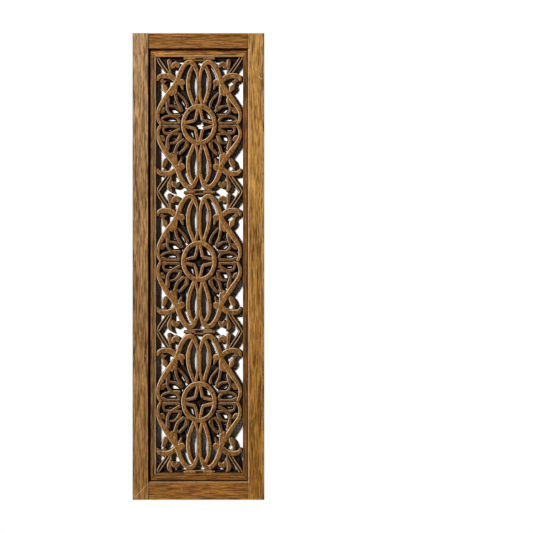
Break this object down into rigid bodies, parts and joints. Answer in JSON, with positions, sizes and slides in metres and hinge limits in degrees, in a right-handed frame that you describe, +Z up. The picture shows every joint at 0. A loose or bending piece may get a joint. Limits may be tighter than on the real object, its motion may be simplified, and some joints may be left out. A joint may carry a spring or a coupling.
{
  "type": "carved wall panel",
  "caption": "Tall wooden wall panel: a plain frame with moulding strips round a pierced board carved with linked medallions and leafy straps.",
  "frame": {"origin": "centre of the top rail's flat back face, where the panel rests on the wall as it hangs", "axes": "+X to the right across the panel as seen from the front, +Y into the wall, +Z up; the carved front faces -Y"},
  "size_m": [0.35, 0.03, 1.24],
  "materials": {
    "stile_wood": "satin antique brown",
    "rail_wood": "satin antique brown",
    "moulding_wood": "satin antique brown",
    "carved_wood": "rubbed antique brown"
  },
  "bodies": {
    "root": {"left_stile": "stile_wood", "right_stile": "stile_wood", "top_rail": "rail_wood", "bottom_rail": "rail_wood", "left_moulding": "moulding_wood", "right_moulding": "moulding_wood", "top_moulding": "moulding_wood", "bottom_moulding": "moulding_wood", "carved_panel": "carved_wood"}
  },
  "joints": []
}
